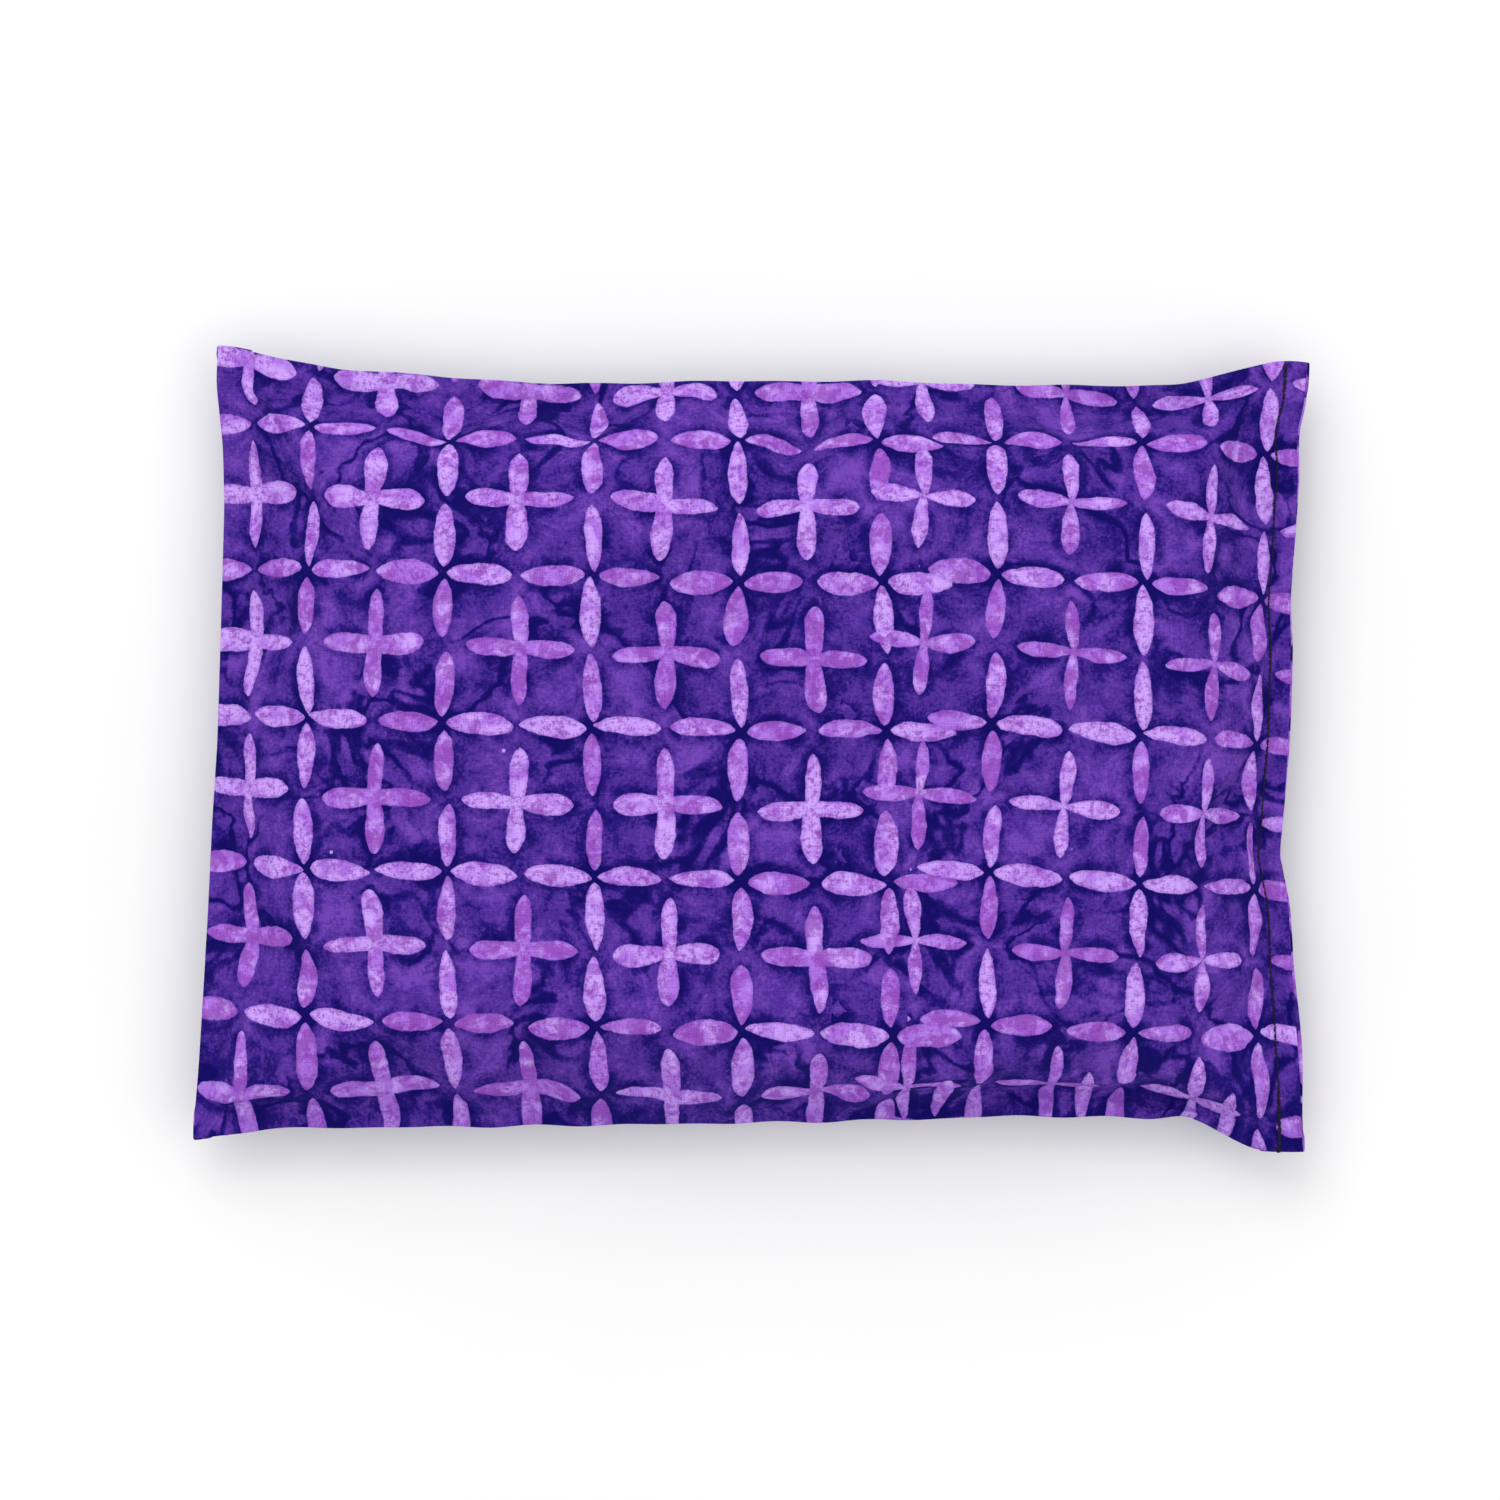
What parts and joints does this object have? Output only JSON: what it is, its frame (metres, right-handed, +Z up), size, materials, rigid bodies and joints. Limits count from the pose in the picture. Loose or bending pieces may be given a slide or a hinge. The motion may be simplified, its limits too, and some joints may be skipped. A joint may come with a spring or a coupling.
{
  "type": "eye pillow",
  "caption": "Flat rectangular eye pillow of printed cotton, filled with seed and closed by a topstitched hem at one end.",
  "frame": {"origin": "middle of the pillow's footprint, on the surface that it lies on", "axes": "+X from the plain end towards the topstitched closing hem, +Y across the pillow towards one long side, +Z up through its thickness, from the back panel to the front panel"},
  "size_m": [0.2539, 0.1838, 0.036],
  "materials": {
    "printed_cotton": "wax-resist printed quilting cotton, matt with a faint sheen",
    "flaxseed": "glossy brown seed",
    "lavender_bud": "dry matt bud",
    "sewing_thread": "spun polyester thread with a slight sheen"
  },
  "bodies": {
    "root": {"front_panel": "printed_cotton", "back_panel": "printed_cotton", "flaxseed_fill": "flaxseed", "lavender_buds": "lavender_bud", "closing_needle_thread": "sewing_thread", "closing_bobbin_thread": "sewing_thread", "seam_needle_thread": "sewing_thread", "seam_bobbin_thread": "sewing_thread"}
  },
  "joints": []
}
